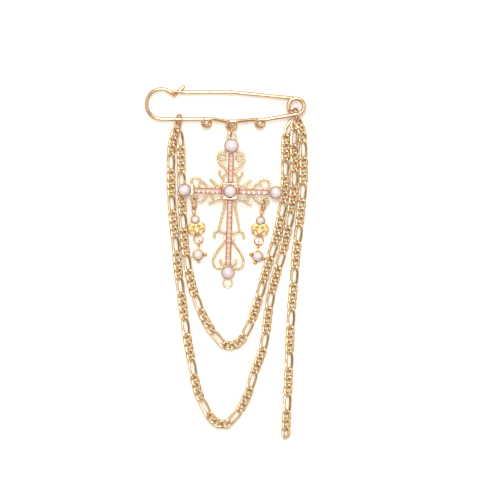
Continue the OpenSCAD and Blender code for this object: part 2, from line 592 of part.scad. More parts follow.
pin_frame();
pin_stem();
left_arm_ring();
left_chain_ring();
coil_ring();
pendant_ring();
cross_body();
pearl_top();
pearl_left();
pearl_right();
pearl_bottom();
pearl_centre();
stones_top();
stones_left();
stones_right();
stones_bottom();
drop_ring_left();
drop_fleur_left();
drop_pearl_left();
drop_mid_ring_left();
drop_tip_left();
drop_tip_pearl_left();
drop_ring_right();
drop_fleur_right();
drop_pearl_right();
drop_mid_ring_right();
drop_tip_right();
drop_tip_pearl_right();
chain_outer();
chain_inner();
chain_free();
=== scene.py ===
import bpy
import bmesh
import math
import numpy as np
from mathutils import Matrix, Vector


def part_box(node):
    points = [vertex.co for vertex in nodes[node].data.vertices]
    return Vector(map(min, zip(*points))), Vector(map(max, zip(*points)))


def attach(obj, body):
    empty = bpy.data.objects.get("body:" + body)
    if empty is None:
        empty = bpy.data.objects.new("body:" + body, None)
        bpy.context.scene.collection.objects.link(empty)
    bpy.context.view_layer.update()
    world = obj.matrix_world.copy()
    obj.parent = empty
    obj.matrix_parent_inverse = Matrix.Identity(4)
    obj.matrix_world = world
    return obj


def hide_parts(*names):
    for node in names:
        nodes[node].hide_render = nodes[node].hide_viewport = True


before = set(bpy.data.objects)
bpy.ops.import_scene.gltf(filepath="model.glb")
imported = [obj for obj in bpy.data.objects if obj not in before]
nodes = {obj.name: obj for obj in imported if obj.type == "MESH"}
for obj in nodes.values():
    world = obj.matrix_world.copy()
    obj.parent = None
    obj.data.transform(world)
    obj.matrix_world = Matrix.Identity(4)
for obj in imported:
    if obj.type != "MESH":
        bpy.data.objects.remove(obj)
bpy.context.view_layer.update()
mm = 0.001


def linear(hexColour):  # sRGB hex to the linear colour that the shaders take
    parts = [int(hexColour[i:i + 2], 16) / 255 for i in (1, 3, 5)]
    return tuple(c / 12.92 if c <= 0.04045 else ((c + 0.055) / 1.055) ** 2.4 for c in parts) + (1.0,)


def addNode(tree, kind, settings=None, links=None):  # one node with its settings and its incoming links
    node = tree.nodes.new(kind)
    for name, value in (settings or {}).items():
        if isinstance(name, str) and hasattr(node, name):
            setattr(node, name, value)
        else:
            node.inputs[name].default_value = value
    for name, source in (links or {}).items():
        tree.links.new(source, node.inputs[name])
    return node


# Camera straight above the table, framed as the photograph is
view = {"widthMm": 223.7, "centreMm": (6.85, 10.37), "heightMm": 1500, "sensor": 36, "farMetres": 10}

cameraData = bpy.data.cameras.new("tableCamera")
cameraData.sensor_width = view["sensor"]
cameraData.lens = view["sensor"] * view["heightMm"] / view["widthMm"]
cameraData.clip_end = view["farMetres"]
camera = bpy.data.objects.new("tableCamera", cameraData)
camera.location = (view["centreMm"][0] * mm, view["centreMm"][1] * mm, view["heightMm"] * mm)
bpy.context.scene.collection.objects.link(camera)
bpy.context.scene.camera = camera

# Studio: four large panels with darker gaps between them, which give polished gold its bands, a dim
# round one overhead for what lies flat, and a small lamp that puts the bright spot on the pearls
studio = {
    "world": "#EBDCC6", "worldStrength": 0.2,
    "panels": [  # place, width, height, watts, colour
        ((0.05, 0.62, 0.52), 1.0, 0.5, 2.7, "#FFFBF2"),
        ((0.66, 0.0, 0.5), 0.8, 0.42, 1.3, "#FFF6EA"),
        ((-0.66, 0.05, 0.5), 0.8, 0.42, 1.4, "#FFFDFA"),
        ((0.0, -0.64, 0.48), 0.9, 0.4, 1.1, "#FFF0DC"),
        ((0.0, 0.0, 1.7), 1.4, 1.4, 5.2, "#FFFFFF"),
    ],
    "lamp": ((-0.05, 0.3, 0.95), 0.2, 3.0, "#FFFFFF"),  # place, width, watts, colour
    "floorSizeMm": 2400, "floorDropMm": 0.05,
}

world = bpy.data.worlds.new("studioWorld")
world.use_nodes = True
background = world.node_tree.nodes["Background"]
background.inputs["Color"].default_value = linear(studio["world"])
background.inputs["Strength"].default_value = studio["worldStrength"]
bpy.context.scene.world = world


def softbox(name, place, size, watts, colour):  # aimed at the middle of the table, round if it is square
    lightData = bpy.data.lights.new(name, "AREA")
    lightData.shape = "RECTANGLE" if size[0] != size[1] else "DISK"
    lightData.size = size[0]
    if size[0] != size[1]:
        lightData.size_y = size[1]
    lightData.energy = watts
    lightData.color = linear(colour)[:3]
    light = bpy.data.objects.new(name, lightData)
    light.location = place
    light.rotation_euler = (-Vector(place)).to_track_quat("-Z", "Y").to_euler()
    bpy.context.scene.collection.objects.link(light)


for i, (place, width, height, watts, colour) in enumerate(studio["panels"]):
    softbox(f"panel{i}", place, (width, height), watts, colour)
lampPlace, lampSize, lampWatts, lampColour = studio["lamp"]
softbox("pearlLamp", lampPlace, (lampSize, lampSize), lampWatts, lampColour)
bpy.context.scene.view_settings.view_transform = "Standard"  # white paper stays white, gold stays yellow

print("stage: camera and lights")


def newMaterial(name):
    material = bpy.data.materials.new(name)
    material.use_nodes = True
    tree = material.node_tree
    tree.nodes.clear()
    shader = tree.nodes.new("ShaderNodeBsdfPrincipled")
    out = tree.nodes.new("ShaderNodeOutputMaterial")
    tree.links.new(shader.outputs[0], out.inputs["Surface"])
    return material, tree, shader


# White sweep paper: uncoated card, matte, a touch warm, never glossy. The glow keeps it white to its edges
paperLook = {"white": "#FDFDFC", "rough": 0.9, "glow": "#FFFFFF", "glowStrength": 0.16}
paper, paperTree, paperShader = newMaterial("sweepPaper")
paperShader.inputs["Base Color"].default_value = linear(paperLook["white"])
paperShader.inputs["Roughness"].default_value = paperLook["rough"]
paperShader.inputs["Emission Color"].default_value = linear(paperLook["glow"])
paperShader.inputs["Emission Strength"].default_value = paperLook["glowStrength"]

half = studio["floorSizeMm"] * mm / 2
floorMesh = bpy.data.meshes.new("floorSheet")
floorCorners = [(-half, -half, 0), (half, -half, 0), (half, half, 0), (-half, half, 0)]
floorMesh.from_pydata(floorCorners, [], [(0, 1, 2, 3)])
floorMesh.materials.append(paper)
floor = bpy.data.objects.new("floorSheet", floorMesh)
floor.location.z = -studio["floorDropMm"] * mm
bpy.context.scene.collection.objects.link(floor)


# Gold plate over brass and over cast zinc. Wire and chain come polished from drawing and tumbling, so they
# show long bright bands, and cast parts keep a fine skin that breaks the shine up
goldLooks = {
    "platedWire": {"bright": "#EFD9B8", "deep": "#DAB48C", "rough": 0.17, "grainMm": 0.5, "grain": 0.05},
    "platedRings": {"bright": "#EBC8A0", "deep": "#CF9F6E", "rough": 0.18, "grainMm": 0.4, "grain": 0.06},
    "platedChain": {"bright": "#FAE8CA", "deep": "#E9CDA2", "rough": 0.16, "grainMm": 0.5, "grain": 0.06},
    "castGold": {"bright": "#FFF3DA", "deep": "#F8E2BC", "rough": 0.24, "grainMm": 0.28, "grain": 0.22},
    "castDrops": {"bright": "#F6D69C", "deep": "#DEAE6C", "rough": 0.2, "grainMm": 0.35, "grain": 0.14},
    "roseRails": {"bright": "#F0C6AE", "deep": "#CF967A", "rough": 0.2, "grainMm": 0.3, "grain": 0.1},
}
plateSkin = {
    "cloudMm": 3.5, "cloudDetail": 3, "grainDetail": 5, "smoother": 0.05, "duller": 0.09, "bumpMm": 0.1,
    "edge": "#C79A62",  # painted shade: darker metal where it turns away, for dark surroundings reflected at the edges
}


def goldPlate(name):
    look = goldLooks[name]
    material, tree, shader = newMaterial(name)
    where = addNode(tree, "ShaderNodeTexCoord")
    clouds = addNode(tree, "ShaderNodeTexNoise", {"Scale": 1 / (plateSkin["cloudMm"] * mm),
                                                  "Detail": plateSkin["cloudDetail"]},
                     {"Vector": where.outputs["Object"]})
    tint = addNode(tree, "ShaderNodeMix", {"data_type": "RGBA"}, {0: clouds.outputs["Fac"]})
    tint.inputs[6].default_value = linear(look["bright"])
    tint.inputs[7].default_value = linear(look["deep"])
    tree.links.new(tint.outputs[2], shader.inputs["Base Color"])
    shader.inputs["Metallic"].default_value = 1.0
    # Painted shade: the edge colour darkens the reflection where the metal turns away
    shader.inputs["Specular Tint"].default_value = linear(plateSkin["edge"])
    grain = addNode(tree, "ShaderNodeTexNoise", {"Scale": 1 / (look["grainMm"] * mm),
                                                 "Detail": plateSkin["grainDetail"]},
                    {"Vector": where.outputs["Object"]})
    wear = addNode(tree, "ShaderNodeMapRange", {"To Min": look["rough"] - plateSkin["smoother"],
                                                "To Max": look["rough"] + plateSkin["duller"]},
                   {"Value": grain.outputs["Fac"]})
    tree.links.new(wear.outputs["Result"], shader.inputs["Roughness"])
    bump = addNode(tree, "ShaderNodeBump", {"Strength": look["grain"], "Distance": plateSkin["bumpMm"] * mm},
                   {"Height": grain.outputs["Fac"]})
    tree.links.new(bump.outputs["Normal"], shader.inputs["Normal"])
    return material


gold = {name: goldPlate(name) for name in goldLooks}

# Imitation pearl: nacre lacquer dipped over a bead, white with a lilac and rose blush, wet shine on top
# The rim colour, mixed in where the bead turns away from the view, is partly the lacquer's lilac overtone and
# partly painted shade; edge sets how far in it reaches
nacreLook = {
    "body": "#FBF4F6", "blush": "#F6DFE8", "cool": "#E8E4F4", "rim": "#D9B9CC", "edge": 0.35,
    "patchMm": 2.6, "patchDetail": 2, "coolAt": 0.35, "bodyAt": 0.5, "blushAt": 0.7,
    "rough": 0.22, "ior": 1.53, "coat": 1.0, "coatRough": 0.14, "sheen": 0.2, "sheenTint": "#EBD3EE",
}
nacre, nacreTree, nacreShader = newMaterial("nacreLacquer")
nacreWhere = addNode(nacreTree, "ShaderNodeTexCoord")
nacrePatch = addNode(nacreTree, "ShaderNodeTexNoise",
                     {"Scale": 1 / (nacreLook["patchMm"] * mm), "Detail": nacreLook["patchDetail"]},
                     {"Vector": nacreWhere.outputs["Object"]})
nacreRamp = addNode(nacreTree, "ShaderNodeValToRGB", None, {"Fac": nacrePatch.outputs["Fac"]})
nacreRamp.color_ramp.elements[0].position = nacreLook["coolAt"]
nacreRamp.color_ramp.elements[0].color = linear(nacreLook["cool"])
nacreRamp.color_ramp.elements[1].position = nacreLook["blushAt"]
nacreRamp.color_ramp.elements[1].color = linear(nacreLook["blush"])
nacreMiddle = nacreRamp.color_ramp.elements.new(nacreLook["bodyAt"])
nacreMiddle.color = linear(nacreLook["body"])
# Partly lilac overtone, partly painted shade: a darker rim where the bead turns away from the view
nacreRimShadeMask = addNode(nacreTree, "ShaderNodeLayerWeight", {"Blend": nacreLook["edge"]})
nacreWithShadedRim = addNode(nacreTree, "ShaderNodeMix", {"data_type": "RGBA"}, {0: nacreRimShadeMask.outputs["Facing"]})
nacreTree.links.new(nacreRamp.outputs["Color"], nacreWithShadedRim.inputs[6])
nacreWithShadedRim.inputs[7].default_value = linear(nacreLook["rim"])
nacreTree.links.new(nacreWithShadedRim.outputs[2], nacreShader.inputs["Base Color"])
nacreShader.inputs["Roughness"].default_value = nacreLook["rough"]
nacreShader.inputs["IOR"].default_value = nacreLook["ior"]
nacreShader.inputs["Coat Weight"].default_value = nacreLook["coat"]
nacreShader.inputs["Coat Roughness"].default_value = nacreLook["coatRough"]
nacreShader.inputs["Sheen Weight"].default_value = nacreLook["sheen"]
nacreShader.inputs["Sheen Tint"].default_value = linear(nacreLook["sheenTint"])

# Foil-backed glass stones, rose and lilac by turns, with a hard polish
# The last two entries set a faint pink glow on the stones, a painted light that brightens them though they
# are no lamp
stoneLook = {
    "rose": "#F8BAB8", "lilac": "#EDBAD2", "pale": "#FBDAD6", "paleAt": 0.55, "patchMm": 2.4, "rough": 0.06,
    "ior": 1.58, "clear": 0.25, "coat": 0.6, "coatRough": 0.03, "foil": "#F3C3D2", "paintedGlowStrength": 0.08,
}
stoneGlass, stoneTree, stoneShader = newMaterial("foiledGlass")
stoneWhere = addNode(stoneTree, "ShaderNodeTexCoord")
stonePatch = addNode(stoneTree, "ShaderNodeTexVoronoi", {"Scale": 1 / (stoneLook["patchMm"] * mm)},
                     {"Vector": stoneWhere.outputs["Object"]})
stoneTurn = addNode(stoneTree, "ShaderNodeSeparateColor", None, {"Color": stonePatch.outputs["Color"]})
stoneRamp = addNode(stoneTree, "ShaderNodeValToRGB", None, {"Fac": stoneTurn.outputs[0]})
stoneRamp.color_ramp.elements[0].color = linear(stoneLook["rose"])
stoneRamp.color_ramp.elements[1].color = linear(stoneLook["lilac"])
stoneMiddle = stoneRamp.color_ramp.elements.new(stoneLook["paleAt"])
stoneMiddle.color = linear(stoneLook["pale"])
stoneTree.links.new(stoneRamp.outputs["Color"], stoneShader.inputs["Base Color"])
stoneShader.inputs["Roughness"].default_value = stoneLook["rough"]
stoneShader.inputs["IOR"].default_value = stoneLook["ior"]
stoneShader.inputs["Transmission Weight"].default_value = stoneLook["clear"]
stoneShader.inputs["Coat Weight"].default_value = stoneLook["coat"]
stoneShader.inputs["Coat Roughness"].default_value = stoneLook["coatRough"]
# Painted light: a faint pink glow on the stones
stoneShader.inputs["Emission Color"].default_value = linear(stoneLook["foil"])
stoneShader.inputs["Emission Strength"].default_value = stoneLook["paintedGlowStrength"]

print("stage: materials")


def camelName(node):  # left_arm_ring becomes leftArmRing
    words = node.split("_")
    return words[0] + "".join(word.capitalize() for word in words[1:])


def meshPiece(name, points, faces, material, body, smooth=True):
    mesh = bpy.data.meshes.new(name)
    mesh.from_pydata([tuple(p) for p in points], [], faces)
    mesh.materials.append(material)
    for face in mesh.polygons:
        face.use_smooth = smooth
    piece = bpy.data.objects.new(name, mesh)
    bpy.context.scene.collection.objects.link(piece)
    if body:
        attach(piece, body)
    return piece


def bakedModifiers(piece):  # turns what the modifiers make into a plain mesh
    bpy.context.view_layer.update()
    graph = bpy.context.evaluated_depsgraph_get()
    mesh = bpy.data.meshes.new_from_object(piece.evaluated_get(graph), depsgraph=graph)
    old = piece.data
    piece.modifiers.clear()
    piece.data = mesh
    bpy.data.meshes.remove(old)
    mesh.name = piece.name


# Bent wire: corners are [x, y, z, bend radius] in mm, rows are [place, heading, share of the diameter]
def wireRows(corners, stepDeg=7):
    spots = [Vector(q[:3]) for q in corners]
    runs = [(b - a).normalized() for a, b in zip(spots, spots[1:])]
    rows = [(spots[0], runs[0], 1.0)]
    for i in range(1, len(spots) - 1):
        a, b, r = runs[i - 1], runs[i], corners[i][3]
        turn = a.angle(b)
        if turn < 1e-4:
            continue
        inward = (b - a.dot(b) * a).normalized()
        start = spots[i] - r * math.tan(turn / 2) * a
        count = max(2, math.ceil(math.degrees(turn) / stepDeg))
        for k in range(count + 1):
            t = turn * k / count
            rows.append((start + r * (math.sin(t) * a + (1 - math.cos(t)) * inward),
                         math.cos(t) * a + math.sin(t) * inward, 1.0))
    rows.append((spots[-1], runs[-1], 1.0))
    return rows


domeDeg = (22, 45, 66, 84)  # rings of the dome that closes a wire's end


def roundedEnds(rows, diameter):
    out = list(rows)
    for atStart in (True, False):
        spot, run, share = rows[0] if atStart else rows[-1]
        outward = -1 if atStart else 1
        dome = [(spot + outward * math.sin(t) * diameter * share / 2 * run, run, share * math.cos(t))
                for t in map(math.radians, domeDeg)]
        out = dome[::-1] + out if atStart else out + dome
    return out


def sweptWire(name, rows, diameter, sides, material, body):
    side = Vector((0.01, 0.02, 1))  # close to upright, and along no wire
    points, faces = [], []
    for spot, run, share in rows:
        side = (side - side.dot(run) * run).normalized()
        other = run.cross(side)
        for k in range(sides):
            t = 2 * math.pi * k / sides
            points.append((spot + share * diameter / 2 * (math.cos(t) * side + math.sin(t) * other)) * mm)
    for i in range(len(rows) - 1):
        for k in range(sides):
            m = (k + 1) % sides
            faces.append((i * sides + k, i * sides + m, (i + 1) * sides + m, (i + 1) * sides + k))
    faces.append(tuple(range(sides - 1, -1, -1)))
    faces.append(tuple((len(rows) - 1) * sides + k for k in range(sides)))
    return meshPiece(name, points, faces, material, body)


# Safety pin, bent from one length of spring wire
pin = {
    "wire": 1.8, "length": 75, "span": 13.95, "armY": 66.6, "lift": 2.85, "layerGap": 0.15,
    "coilR": 3.65, "coilRise": 5.9, "coilBend": 0.97, "coilTail": 1, "catchGap": 0.15, "endInset": 0.1,
    "stemFrom": 3, "stemTo": -19.2, "stemDrop": 1.4, "tip": 0.4, "taper": 8.2, "taperSteps": 4, "lean": 0.6,
    "hookX": -23.7, "hookTail": (4.2, 3.7), "hookBendR": 1.45, "hookRun": 4.3,
    "loops": [(-8.7, 0, 1.7), (2.9, -1.1, 1.9), (16.1, -0.3, 1.7)],  # x, height, mean radius
    "loopRun": 2.6, "loopSquare": 0.98, "loopBend": 0.9,
    "softR": 5, "stemR": 20, "tipR": 10,  # bend radii of the gentle corners
    "sides": 28,
}
low = pin["lift"]
high = low + pin["wire"] + pin["layerGap"]
coilAt = Vector((pin["length"] / 2 - pin["coilR"] - pin["wire"] / 2, pin["armY"] + pin["coilRise"], 0))
catchY = pin["armY"] + pin["span"]
leftX = -pin["length"] / 2 + pin["wire"] / 2
bendR = pin["span"] / 2 - pin["endInset"]


def around(radius, degrees):
    return Vector((radius * math.cos(math.radians(degrees)), radius * math.sin(math.radians(degrees)), 0))


def coilCorner(degrees, z):
    q = coilAt + around(pin["coilR"] * math.sqrt(2), degrees)
    return [q.x, q.y, z, pin["coilR"] * pin["coilBend"]]


stemBend = Vector((pin["stemFrom"], catchY - pin["stemDrop"], low))
stemEnd = Vector((pin["stemTo"], catchY - pin["stemDrop"], low))
tipAt = stemEnd + Vector((-pin["taper"], pin["lean"], 0))
toStem = Vector((coilAt.x - stemBend.x, coilAt.y - stemBend.y))
stemHeading = math.degrees(math.atan2(-toStem.y, -toStem.x) + math.asin(pin["coilR"] / toStem.length))
hookShare = (stemEnd.x - pin["hookX"]) / pin["taper"]
hookOff = (pin["wire"] + pin["wire"] + (pin["tip"] - pin["wire"]) * hookShare) / 2 + pin["catchGap"]
hookY = stemEnd.y + hookShare * pin["lean"] - hookOff
hookOver, hookUnder = low + hookOff, low - pin["wire"] - pin["catchGap"]

loopCorners = []
for x, rise, r in pin["loops"]:
    c, y, step, bend = r * pin["loopSquare"], pin["armY"] + rise, (high - low) / 3, r * pin["loopBend"]
    loopCorners += [[x - pin["loopRun"], y, low, pin["softR"]], [x + c, y, low, bend],
                    [x + c, y - 2 * c, low + step, bend], [x - c, y - 2 * c, low + 2 * step, bend],
                    [x - c, y, high, bend], [x + pin["loopRun"], y, high, pin["softR"]]]
lastLoop = Vector((pin["loops"][-1][0] + pin["loopRun"], pin["armY"] + pin["loops"][-1][1], 0))
toCoil = coilAt - lastLoop
armHeading = math.degrees(math.atan2(toCoil.y, toCoil.x) - math.asin(pin["coilR"] / toCoil.length))
coilEnd = coilAt + around(pin["coilR"], armHeading + 180) + around(pin["coilTail"], armHeading + 270)
hookX, hookBendR, (tailX, tailY) = pin["hookX"], pin["hookBendR"], pin["hookTail"]
frameCorners = [[hookX + tailX, hookY + tailY, hookUnder, 0], [hookX, hookY, hookUnder, hookBendR],
                [hookX, hookY, hookOver, hookBendR], [hookX - pin["hookRun"], catchY, hookOver, pin["softR"]],
                [leftX, catchY, hookOver, bendR], [leftX, pin["armY"], low, bendR]]
frameCorners += loopCorners[1:]
frameCorners += [coilCorner(armHeading + k, high) for k in (-45, 45, 135)]
frameCorners += [[coilEnd.x, coilEnd.y, high, 0]]
pinWire = sweptWire("pinWire", roundedEnds(wireRows(frameCorners), pin["wire"]), pin["wire"], pin["sides"],
                    gold["platedWire"], "brooch")
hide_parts("pin_frame")

coilStart = coilAt + around(pin["coilR"], stemHeading)
stemCorners = [[coilStart.x, coilStart.y, low, 0]]
stemCorners += [coilCorner(stemHeading + k, low) for k in (45, 135, 225)]
stemCorners += [[stemBend.x, stemBend.y, low, pin["stemR"]], [stemEnd.x, stemEnd.y, low, pin["tipR"]],
                [tipAt.x, tipAt.y, low, 0]]
stemRows = wireRows(stemCorners)
taperFrom, tipRun = stemRows[-2][0], stemRows[-1][1]
stemRows = stemRows[:-1] + [(taperFrom.lerp(tipAt, k / pin["taperSteps"]), tipRun, 1.0)
                            for k in range(1, pin["taperSteps"] + 1)]
thin = 1 - pin["tip"] / pin["wire"]
stemRows = [(spot, run, 1 - thin * min(1, max(0, (stemEnd.x - spot.x) / pin["taper"])))
            for spot, run, _ in stemRows]
stemWire = sweptWire("stemWire", roundedEnds(stemRows, pin["wire"]), pin["wire"], pin["sides"],
                     gold["platedWire"], "stem")
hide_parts("pin_stem")
print("stage: pin")


def nodePoints(node):
    data = nodes[node].data
    co = np.zeros(len(data.vertices) * 3)
    data.vertices.foreach_get("co", co)
    return co.reshape(-1, 3)


# Jump rings: round wire, butted ends, laid where the CAD rings lie
rings = {
    "wire": {"left_arm_ring": 0.9, "left_chain_ring": 0.9, "coil_ring": 0.9, "pendant_ring": 0.9,
             "drop_ring_left": 0.7, "drop_ring_right": 0.7,
             "drop_mid_ring_left": 0.7, "drop_mid_ring_right": 0.7},
    "seamDeg": 1.6, "steps": 72, "sides": 18,
}


def jumpRing(node, wire):
    co = nodePoints(node) / mm
    middle = co.mean(0)
    axes = np.linalg.eigh(np.cov((co - middle).T))[1]  # its own directions, the longest last
    u, v = Vector(axes[:, 1]), Vector(axes[:, 2])
    flat = np.stack([(co - middle) @ axes[:, 1], (co - middle) @ axes[:, 2]], 1)
    shift = (flat.max(0) + flat.min(0)) / 2
    centre = Vector(middle) + float(shift[0]) * u + float(shift[1]) * v
    radius = float((flat.max(0) - flat.min(0)).mean()) / 2 - wire / 2
    start, count = rings["seamDeg"] / 2, rings["steps"]
    rows = []
    for k in range(count + 1):
        t = math.radians(start + (360 - 2 * start) * k / count)
        rows.append((centre + radius * (math.cos(t) * u + math.sin(t) * v),
                     (math.cos(t) * v - math.sin(t) * u), 1.0))
    ring = sweptWire(camelName(node), rows, wire, rings["sides"], gold["platedRings"], "brooch")
    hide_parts(node)


for ringNode, ringWire in rings["wire"].items():
    jumpRing(ringNode, ringWire)
print("stage: jump rings")


# Figaro chain: one long link and three short ones, all twisted the same way so that they lie flat
chain = {
    "halfWidth": 1.42, "shortWide": 1.46, "longWide": 1.3, "wireThick": 0.98, "twistDeg": -50,
    "shortLength": 4.98, "longLength": 9.63, "longOver": 8,
    "stepsRound": 9, "stepsLong": 3, "sides": 8, "flatter": 0.72,  # flatter: 1 is round wire, 0 is square
}


def linkTemplate(name, length, wireWide):
    half, r = length / 2, chain["halfWidth"]
    outline = []
    for end in (1, -1):
        for k in range(chain["stepsRound"] + 1):
            t = math.pi * k / chain["stepsRound"] - math.pi / 2
            outline.append((end * (half - r + r * math.cos(t)), end * r * math.sin(t)))
        span = 2 * (half - r)
        for k in range(1, chain["stepsLong"]):
            outline.append((end * (half - r - span * k / chain["stepsLong"]), end * r))
    points, faces = [], []
    count, sides = len(outline), chain["sides"]
    for i, (x, y) in enumerate(outline):
        ax, ay = outline[i - 1]
        bx, by = outline[(i + 1) % count]
        run = Vector((bx - ax, by - ay, 0)).normalized()
        out = Vector((run.y, -run.x, 0))
        turn = Matrix.Rotation(math.radians(chain["twistDeg"]) * x / half, 3, "X")
        for k in range(sides):
            t = 2 * math.pi * (k + 0.5) / sides
            c, s = math.cos(t), math.sin(t)
            c = math.copysign(abs(c) ** chain["flatter"], c)
            s = math.copysign(abs(s) ** chain["flatter"], s)
            p = Vector((x, y, s * chain["wireThick"] / 2)) + c * wireWide / 2 * out
            points.append(turn @ p * mm)
    for i in range(count):
        j = (i + 1) % count
        for k in range(sides):
            m = (k + 1) % sides
            faces.append((i * sides + k, j * sides + k, j * sides + m, i * sides + m))
    mesh = bpy.data.meshes.new(name)
    mesh.from_pydata([tuple(p) for p in points], [], faces)
    for face in mesh.polygons:
        face.use_smooth = True
    return bpy.data.objects.new(name, mesh)


shortLink = linkTemplate("shortLink", chain["shortLength"], chain["shortWide"])
longLink = linkTemplate("longLink", chain["longLength"], chain["longWide"])


def newTree(name, inputs):  # geometry tree with named inputs, {name: (socket type, default)}
    tree = bpy.data.node_groups.new(name, "GeometryNodeTree")
    tree.interface.new_socket("Geometry", in_out="OUTPUT", socket_type="NodeSocketGeometry")
    tree.interface.new_socket("Geometry", in_out="INPUT", socket_type="NodeSocketGeometry")
    names = {}
    for label, (kind, default) in inputs.items():
        socket = tree.interface.new_socket(label, in_out="INPUT", socket_type=kind)
        if default is not None:
            socket.default_value = default
        names[label] = socket.identifier
    return tree, names, tree.nodes.new("NodeGroupInput"), tree.nodes.new("NodeGroupOutput")


def runTree(piece, tree, names, values):
    modifier = piece.modifiers.new(tree.name, "NODES")
    modifier.node_group = tree
    for label, value in values.items():
        modifier[names[label]] = value
    bakedModifiers(piece)


linkTree, linkNames, linkIn, linkOut = newTree("layFigaroLinks", {
    "Short link": ("NodeSocketObject", None), "Long link": ("NodeSocketObject", None),
    "Link size": ("NodeSocketFloat", 1.0), "Finish": ("NodeSocketMaterial", None)})
turnOf = addNode(linkTree, "GeometryNodeInputNamedAttribute", {"data_type": "FLOAT_VECTOR", "Name": "turn"})
longOf = addNode(linkTree, "GeometryNodeInputNamedAttribute", {"data_type": "FLOAT", "Name": "isLong"})
turned = addNode(linkTree, "FunctionNodeEulerToRotation", None, {0: turnOf.outputs[0]})
isLong = addNode(linkTree, "FunctionNodeCompare", {"operation": "GREATER_THAN", 1: 0.5},
                 {0: longOf.outputs[0]})
isShort = addNode(linkTree, "FunctionNodeBooleanMath", {"operation": "NOT"}, {0: isLong.outputs[0]})
laid = []
for label, chosen in (("Short link", isShort), ("Long link", isLong)):
    shape = addNode(linkTree, "GeometryNodeObjectInfo", None, {"Object": linkIn.outputs[label]})
    laid.append(addNode(linkTree, "GeometryNodeInstanceOnPoints", None, {
        "Points": linkIn.outputs["Geometry"], "Selection": chosen.outputs[0],
        "Instance": shape.outputs["Geometry"], "Rotation": turned.outputs[0],
        "Scale": linkIn.outputs["Link size"]}))
joinedLinks = addNode(linkTree, "GeometryNodeJoinGeometry")
for laidLinks in laid:
    linkTree.links.new(laidLinks.outputs["Instances"], joinedLinks.inputs[0])
realLinks = addNode(linkTree, "GeometryNodeRealizeInstances", None, {0: joinedLinks.outputs[0]})
finishedLinks = addNode(linkTree, "GeometryNodeSetMaterial", None,
                        {"Geometry": realLinks.outputs[0], "Material": linkIn.outputs["Finish"]})
linkTree.links.new(finishedLinks.outputs[0], linkOut.inputs[0])


def islandsOf(node):  # the separate solids of a CAD node, as point sets in mm
    shape = bmesh.new()
    shape.from_mesh(nodes[node].data)
    bmesh.ops.remove_doubles(shape, verts=shape.verts, dist=1e-7)
    seen, out = set(), []
    for seed in shape.verts:
        if seed in seen:
            continue
        group, front = [], [seed]
        seen.add(seed)
        while front:
            vert = front.pop()
            group.append(vert.co[:])
            for edge in vert.link_edges:
                other = edge.other_vert(vert)
                if other not in seen:
                    seen.add(other)
                    front.append(other)
        out.append(np.array(group) / mm)
    shape.free()
    return out


def laidChain(name, node):
    places, turns, longs = [], [], []
    for co in islandsOf(node):
        middle = (co.max(0) + co.min(0)) / 2
        axes = np.linalg.eigh(np.cov((co - co.mean(0)).T))[1]
        run = Vector(axes[:, 2])
        reach = (co - middle) @ axes[:, 2]
        places.append(tuple(middle * mm))
        longs.append(1.0 if reach.max() - reach.min() > chain["longOver"] else 0.0)
        turns.append((0.0, -math.asin(run.z), math.atan2(run.y, run.x)))
    mesh = bpy.data.meshes.new(name)
    mesh.from_pydata(places, [], [])
    mesh.attributes.new("turn", "FLOAT_VECTOR", "POINT").data.foreach_set("vector", np.array(turns).ravel())
    mesh.attributes.new("isLong", "FLOAT", "POINT").data.foreach_set("value", np.array(longs))
    piece = bpy.data.objects.new(name, mesh)
    bpy.context.scene.collection.objects.link(piece)
    runTree(piece, linkTree, linkNames, {"Short link": shortLink, "Long link": longLink, "Link size": 1.0,
                                         "Finish": gold["platedChain"]})
    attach(piece, "brooch")
    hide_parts(node)
    return len(places)


linkCount = sum(laidChain(name, node) for name, node in
                (("outerChain", "chain_outer"), ("innerChain", "chain_inner"), ("freeChain", "chain_free")))
bpy.data.objects.remove(shortLink)
bpy.data.objects.remove(longLink)
print("stage: chains,", linkCount, "links")


# Cast parts: the CAD solid with its edges rounded as a mould and a tumbling barrel leave them
castParts = {
    "cross_body": {"name": "castCross", "voxelMm": 0.2, "rounds": 5, "gold": "castGold", "slot": "cast"},
    "drop_fleur_left": {"name": "fleurLeft", "voxelMm": 0.11, "rounds": 16, "gold": "castDrops",
                        "slot": "drops"},
    "drop_fleur_right": {"name": "fleurRight", "voxelMm": 0.11, "rounds": 16, "gold": "castDrops",
                         "slot": "drops"},
    "drop_tip_left": {"name": "tipLeft", "voxelMm": 0.1, "rounds": 5, "gold": "castDrops", "slot": "drops"},
    "drop_tip_right": {"name": "tipRight", "voxelMm": 0.1, "rounds": 5, "gold": "castDrops", "slot": "drops"},
}


tumbleShare = 0.5  # how far one round takes a point towards its neighbours


def castCopy(node, how):
    shape = bmesh.new()
    shape.from_mesh(nodes[node].data)
    bmesh.ops.remove_doubles(shape, verts=shape.verts, dist=1e-6)
    mesh = bpy.data.meshes.new(how["name"])
    shape.to_mesh(mesh)
    shape.free()
    mesh.materials.clear()
    mesh.materials.append(gold[how["gold"]])
    piece = bpy.data.objects.new(how["name"], mesh)
    bpy.context.scene.collection.objects.link(piece)
    remesh = piece.modifiers.new("mould", "REMESH")
    remesh.mode = "VOXEL"
    remesh.voxel_size = how["voxelMm"] * mm
    remesh.use_smooth_shade = True
    tumble = piece.modifiers.new("tumble", "SMOOTH")
    tumble.factor = tumbleShare
    tumble.iterations = how["rounds"]
    bakedModifiers(piece)
    if not piece.data.materials:
        piece.data.materials.append(gold[how["gold"]])
    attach(piece, "brooch")
    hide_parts(node)
    print(" ", how["name"], len(piece.data.polygons), "faces")


for castNode, castHow in castParts.items():
    castCopy(castNode, castHow)
print("stage: cast parts")


